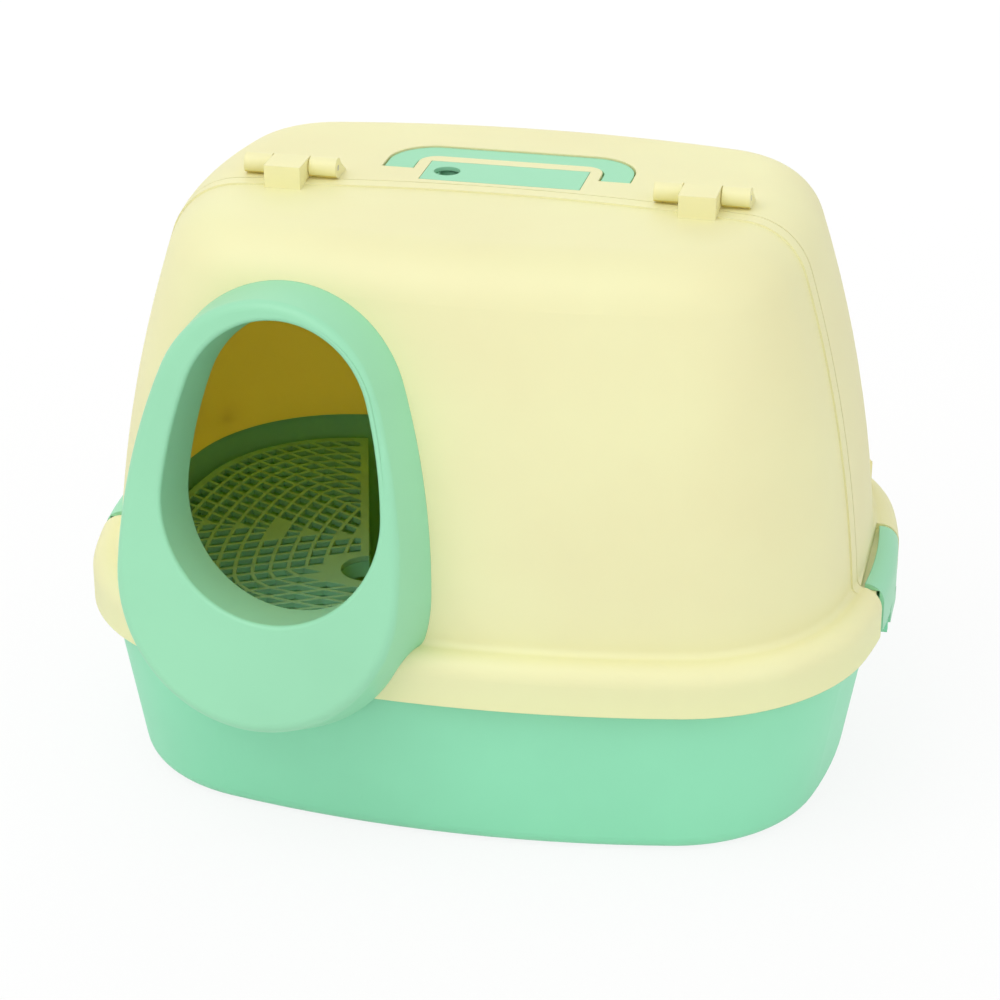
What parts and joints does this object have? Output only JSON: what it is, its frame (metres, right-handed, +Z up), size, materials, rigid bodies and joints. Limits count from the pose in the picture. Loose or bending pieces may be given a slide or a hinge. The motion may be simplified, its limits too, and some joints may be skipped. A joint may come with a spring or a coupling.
{
  "type": "hooded litter box",
  "caption": "Hooded cat litter box: tapered tray, rounded hood whose front half swings up, flared entrance collar, folding carry handle, filter lid, side latches and a sieve step inside.",
  "frame": {"origin": "middle of the flat underside of the tray", "axes": "+X along the length, to the right seen from the front; +Y from the entrance to the back; +Z up"},
  "size_m": [0.5588, 0.4582, 0.4183],
  "materials": {
    "mint_tray": "soft matt moulded",
    "mint_trim": "soft matt moulded",
    "cream_hood": "soft matt moulded",
    "charcoal": "open felt",
    "steel_pin": "drawn"
  },
  "bodies": {
    "box": {"base_tray": "mint_tray", "rear_hood": "cream_hood", "hinge_pin_left": "steel_pin", "hinge_pin_right": "steel_pin", "handle_pin_left": "steel_pin", "handle_pin_right": "steel_pin", "latch_pin_left": "steel_pin", "latch_pin_right": "steel_pin", "filter_cassette": "mint_trim", "charcoal_pad": "charcoal"},
    "flap": {"front_hood": "cream_hood", "entrance_collar": "mint_trim"},
    "handle": {"carry_handle": "mint_trim"},
    "lid": {"filter_lid": "mint_trim"},
    "clip_left": {"latch_left": "mint_trim"},
    "clip_right": {"latch_right": "mint_trim"},
    "pan": {"sieve_pan": "mint_tray"},
    "grid": {"sieve_grid": "mint_trim"}
  },
  "joints": [
    {"name": "flap_hinge", "type": "hinge", "parent": "box", "child": "flap", "pos_m": [0, -0.016, 0.4115], "axis": [-1, 0, 0], "range_deg": [0, 90]},
    {"name": "handle_swing", "type": "hinge", "parent": "box", "child": "handle", "pos_m": [0, 0.0215, 0.3995], "axis": [1, 0, 0], "range_deg": [0, 90]},
    {"name": "lid_lift", "type": "slide", "parent": "box", "child": "lid", "axis": [0, 0, 1], "range_m": [0, 0.016]},
    {"name": "latch_swing_left", "type": "hinge", "parent": "box", "child": "clip_left", "pos_m": [-0.2735, 0, 0.112], "axis": [0, -1, 0], "range_deg": [0, 75]},
    {"name": "latch_swing_right", "type": "hinge", "parent": "box", "child": "clip_right", "pos_m": [0.2735, 0, 0.112], "axis": [0, 1, 0], "range_deg": [0, 75]},
    {"name": "pan_lift", "type": "slide", "parent": "box", "child": "pan", "axis": [0, 0, 1], "range_m": [0, 0.04]},
    {"name": "grid_lift", "type": "slide", "parent": "pan", "child": "grid", "axis": [0, 0, 1], "range_m": [0, 0.03]}
  ]
}
